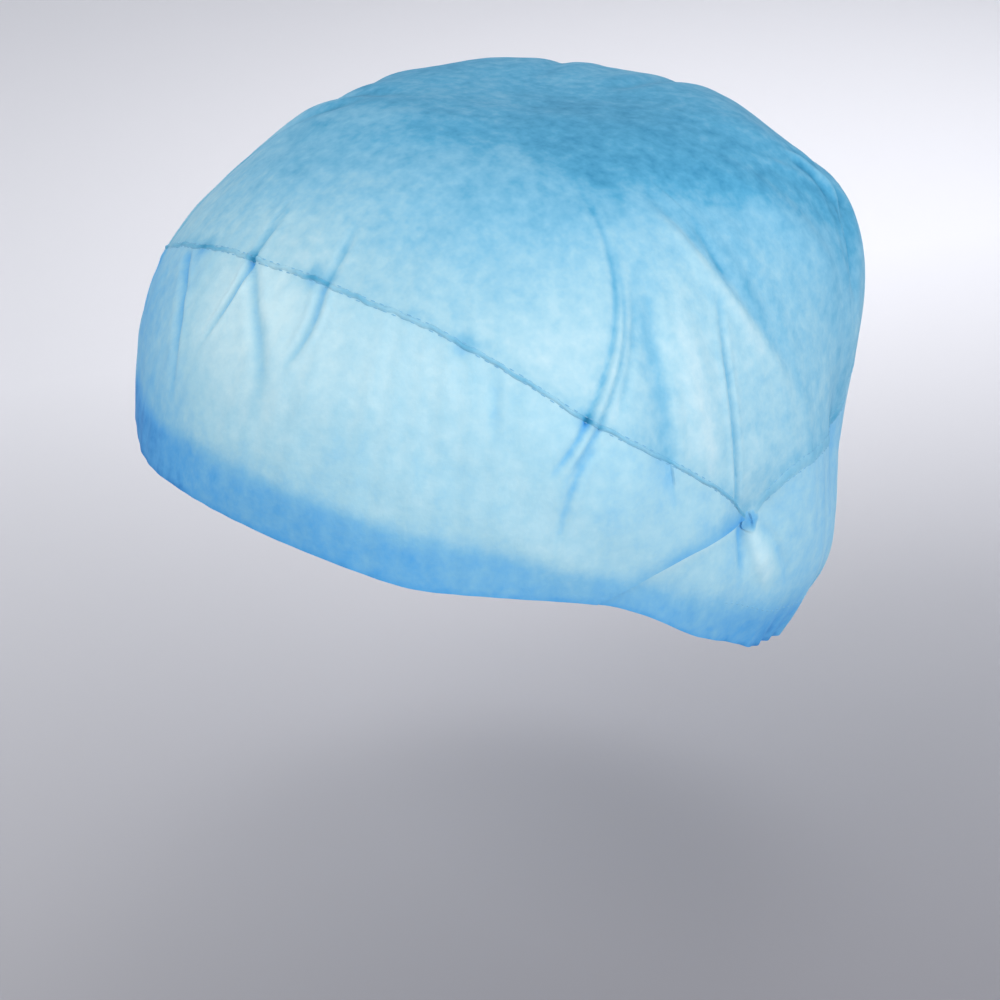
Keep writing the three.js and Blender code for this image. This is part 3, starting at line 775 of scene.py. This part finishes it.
def stitches(name, around, up, lift):
    """Short thread stitches end to end along a line on the cloth, each sunk at both ends."""
    centre, _ = cloth(around, up, lift)
    heading = np.gradient(centre, axis=0)
    heading /= np.linalg.norm(heading, axis=1, keepdims=True)
    outward = direction(around, up)
    across = np.cross(heading, outward)
    t = np.linspace(-1, 1, STITCH_RINGS)[:, None, None]
    turn = np.linspace(0, 2 * math.pi, STITCH_SIDES, endpoint=False)[None, :, None]
    thick = THREAD / 2 * np.sqrt(1 - STITCH_TAPER * t * t)
    points, faces = [], []
    for c, h, o, w in zip(centre, heading, outward, across):
        middle = h * t * STITCH_LENGTH / 2 - o * t * t * THREAD * STITCH_SINK
        ring = middle + (w * np.cos(turn) + o * np.sin(turn)) * thick
        first = len(points) * STITCH_RINGS * STITCH_SIDES
        last = first + (STITCH_RINGS - 1) * STITCH_SIDES
        points.append(c + ring.reshape(-1, 3) * MM)
        for start in range(first, last, STITCH_SIDES):
            for k in range(STITCH_SIDES):
                a, b = start + k, start + (k + 1) % STITCH_SIDES
                faces.append((a, b, b + STITCH_SIDES, a + STITCH_SIDES))
        faces.append(tuple(first + k for k in reversed(range(STITCH_SIDES))))
        faces.append(tuple(last + k for k in range(STITCH_SIDES)))
    return make(name, np.concatenate(points), faces, thread)


def stitch_line(start, end, level):
    """Places spaced one stitch apart along a line round the cap, at the height that level gives."""
    turn = np.linspace(start, end, LINE_STEPS)
    points, _ = cloth(signed(turn), level(signed(turn)))
    run = np.concatenate([[0], np.cumsum(np.linalg.norm(np.diff(points, axis=0), axis=1))]) / MM
    around = signed(np.interp(np.arange(STITCH_PITCH / 2, run[-1], STITCH_PITCH), run, turn))
    return around, level(around)


# Tacks: points round and rings to the middle, the smallest ring, how far behind the seams' end they sit in
# degrees, their lobes and pleats, and how soon their blue deepens and how much painted light and shade change
# it from top to bottom
TACK_TURNS, TACK_RINGS = 40, 10
TACK_INNERMOST = 0.1
TACK_BEHIND = 0.3
TACK_LOBES = table("amount count phase", (0.1, 3, 0), (0.07, 5, 1))
TACK_PLEATS = dict(count=5, height=0.12, strays=((0.6, 2),))
TACK_DEEPENS = 0.8
TACK_LIGHT_AND_SHADE = 0.06


def tack(name, side):
    """A pinch of cloth stitched down, its edge sunk into the cloth round it."""
    turn = np.linspace(0, 2 * math.pi, TACK_TURNS, endpoint=False)[:, None] * side
    share = np.linspace(1, TACK_INNERMOST, TACK_RINGS)[None, :]
    lobes = 1 + waves(TACK_LOBES, turn, np.cos)
    middle = TACK_ROUND + TACK_BEHIND
    around = (middle + share * lobes * TACK_WIDE * DEGREES_PER_MM * np.cos(turn)) * side
    up = TACK_UP + share * lobes * TACK_HIGH * DEGREES_PER_MM * np.sin(turn)
    swell = (1 - share**2) ** 2
    pleat = TACK_PLEATS["height"] * spaced(TACK_PLEATS, turn) * share * swell
    outer, blue = cloth(around, up, -TACK_SUNK + TACK_PROUD * swell + pleat)
    inner, _ = cloth(around, up, -TACK_DEEP)
    tip, _ = cloth(middle * side, TACK_UP, TACK_PROUD - TACK_SUNK)
    tip_inside, _ = cloth(middle * side, TACK_UP, -TACK_DEEP)
    shade = blue + (TACK_BLUE - blue) * (1 - share**2) ** TACK_DEEPENS
    # Painted light and shade, paler on one side of the pinch and deeper on the other
    shade = shade - TACK_LIGHT_AND_SHADE * np.sin(turn) * side * (1 - share)
    return shell(name, outer, inner, shade, tack_cloth, (tip, tip_inside), TACK_BLUE)


# How far from the tacks, in degrees, the seams end, their rows of stitches end within them, and the casing's
# row of stitches starts
SEAM_END = 0.5
STITCH_START = 3
CASING_START = 6
FRONT_ENDS = (-TACK_ROUND + SEAM_END, TACK_ROUND - SEAM_END)
BACK_ENDS = (TACK_ROUND + SEAM_END, 360 - TACK_ROUND - SEAM_END)

crown_panel = dress(crown(), "crown")
brow_band = dress(front_band(), "front_band")
back_panel = dress(back_band(), "back_band")
front_welt = dress(welt("front_seam_welt", *FRONT_ENDS, FRONT_WELT_COLUMNS, FRONT_WELT), "front_seam")
back_welt = dress(welt("back_seam_welt", *BACK_ENDS, BACK_WELT_COLUMNS, BACK_WELT), "back_seam")
dress(tack("left_tack_pinch", 1), "left_tack")
dress(tack("right_tack_pinch", -1), "right_tack")

for name, ends, size in (("front_seam", FRONT_ENDS, FRONT_WELT), ("back_seam", BACK_ENDS, BACK_WELT)):
    for row, side in (("upper", 0.5), ("lower", -0.5)):
        offset = side * size["width"] * DEGREES_PER_MM
        first, last = ends[0] + STITCH_START, ends[1] - STITCH_START
        around, up = stitch_line(first, last, lambda a: seam_up(a) + offset)
        dress(stitches(f"{name}_{row}_stitches", around, up, STITCH_LIFT), name)
around, up = stitch_line(TACK_ROUND - CASING_START, 360 - TACK_ROUND + CASING_START,
                         lambda a: rim_up(a) + along(DOUBLED, "height", np.abs(a)) * DEGREES_PER_MM)
dress(stitches("casing_stitches", around, up, CASING_STITCH_LIFT - lap_drop(around)), "back_band")

# Camera: round from the front, up from the rim, its distance, and where the middle of the hollow falls
CAMERA_ROUND, CAMERA_UP, CAMERA_DISTANCE = 40.0, 30.0, 780.0
PIXELS_PER_MM, PICTURE, SENSOR_MM = 3.40, 1000, 36.0
MIDDLE_X, MIDDLE_Y = 483.0, 430.0
NEAREST_SEEN = 0.05


def camera():
    back = Vector(direction(CAMERA_ROUND, CAMERA_UP))
    right = Vector((math.cos(math.radians(CAMERA_ROUND)), math.sin(math.radians(CAMERA_ROUND)), 0))
    up = back.cross(right)
    aim = Vector((0, 0, MIDDLE_HEIGHT))
    aim += (right * (PICTURE / 2 - MIDDLE_X) - up * (PICTURE / 2 - MIDDLE_Y)) / PIXELS_PER_MM
    lens = bpy.data.cameras.new("camera")
    lens.sensor_width = SENSOR_MM
    lens.lens = SENSOR_MM * CAMERA_DISTANCE * PIXELS_PER_MM / PICTURE
    lens.clip_start = NEAREST_SEEN
    eye = bpy.data.objects.new("camera", lens)
    turn = Matrix((right, up, back)).transposed()
    eye.matrix_world = Matrix.Translation((aim + back * CAMERA_DISTANCE) * MM) @ turn.to_4x4()
    bpy.context.collection.objects.link(eye)
    bpy.context.scene.camera = eye


# Soft lights round the cap, in degrees, metres and watts, one over the floor behind it, and the pale room
SOFTBOXES = table(
    "name round up distance size power colour",
    ("key_softbox", -9, 42, 1.6, 1.1, 14.3, "#fffcf7"),
    ("side_softbox", 88, 24, 1.6, 1.2, 10.4, "#ffffff"),
    ("low_softbox", 92, 4, 1.1, 0.36, 3, "#ffffff"),
)
BACKGROUND_LIGHT = dict(x=-0.153, y=0.524, height=1.1, size=0.8, power=0.9, spread=44)
ROOM_COLOUR, ROOM_GLOW = "#e9ecf2", 0.62


def softbox(name, place, aim, size, power, colour="#ffffff", spread=180):
    """A round soft light at a place in metres, facing a point."""
    light = bpy.data.lights.new(name, "AREA")
    light.shape = "DISK"
    light.size = size
    light.energy = power
    light.color = linear(colour)[:3]
    light.spread = math.radians(spread)
    box = bpy.data.objects.new(name, light)
    box.location = place
    box.rotation_euler = (Vector(place) - Vector(aim)).to_track_quat("Z", "Y").to_euler()
    bpy.context.collection.objects.link(box)


def studio():
    for box in SOFTBOXES:
        place = Vector(direction(box["round"], box["up"])) * box["distance"]
        softbox(box["name"], place, (0, 0, 0), box["size"], box["power"], box["colour"])
    behind = BACKGROUND_LIGHT
    softbox("background_softbox", (behind["x"], behind["y"], behind["height"]), (behind["x"], behind["y"], 0),
            behind["size"], behind["power"], spread=behind["spread"])
    world = bpy.data.worlds.new("studio")
    world.use_nodes = True
    glow = world.node_tree.nodes["Background"]
    glow.inputs["Color"].default_value = linear(ROOM_COLOUR)
    glow.inputs["Strength"].default_value = ROOM_GLOW
    bpy.context.scene.world = world
    bpy.context.scene.view_settings.view_transform = "Standard"


# Seamless paper floor: matt, pale grey, with painted shade that darkens it towards the camera
FLOOR_DROP = 0.15
FLOOR_HALF = 6.0
FLOOR_SHADED_NEAR, FLOOR_FAR = "#8f8e94", "#dddde3"
GRADE_NEAR, GRADE_FAR, GRADE_TURN = -0.1, 0.4, 20


def floor():
    material = new_material("matt paper, pale grey with painted shade")
    place = node(material, "ShaderNodeTexCoord").outputs["Object"]
    turned = node(material, "ShaderNodeVectorRotate", dict(rotation_type="Z_AXIS"), Vector=place,
                  Angle=-math.radians(CAMERA_ROUND + GRADE_TURN)).outputs[0]
    away = node(material, "ShaderNodeSeparateXYZ", Vector=turned).outputs["Y"]
    grade = node(material, "ShaderNodeMapRange", _0=away, _1=GRADE_NEAR, _2=GRADE_FAR).outputs[0]
    ramp = node(material, "ShaderNodeValToRGB", Fac=grade)
    for stop, code in zip(ramp.color_ramp.elements, (FLOOR_SHADED_NEAR, FLOOR_FAR)):
        stop.color = linear(code)
    skin = node(material, "ShaderNodeBsdfPrincipled", Base_Color=ramp.outputs["Color"], Roughness=0.9)
    node(material, "ShaderNodeOutputMaterial", Surface=skin.outputs[0])
    corners = [(x * FLOOR_HALF, y * FLOOR_HALF, -FLOOR_DROP) for x, y in ((-1, -1), (1, -1), (1, 1), (-1, 1))]
    make("floor", corners, [(0, 1, 2, 3)], material)


camera()
studio()
floor()
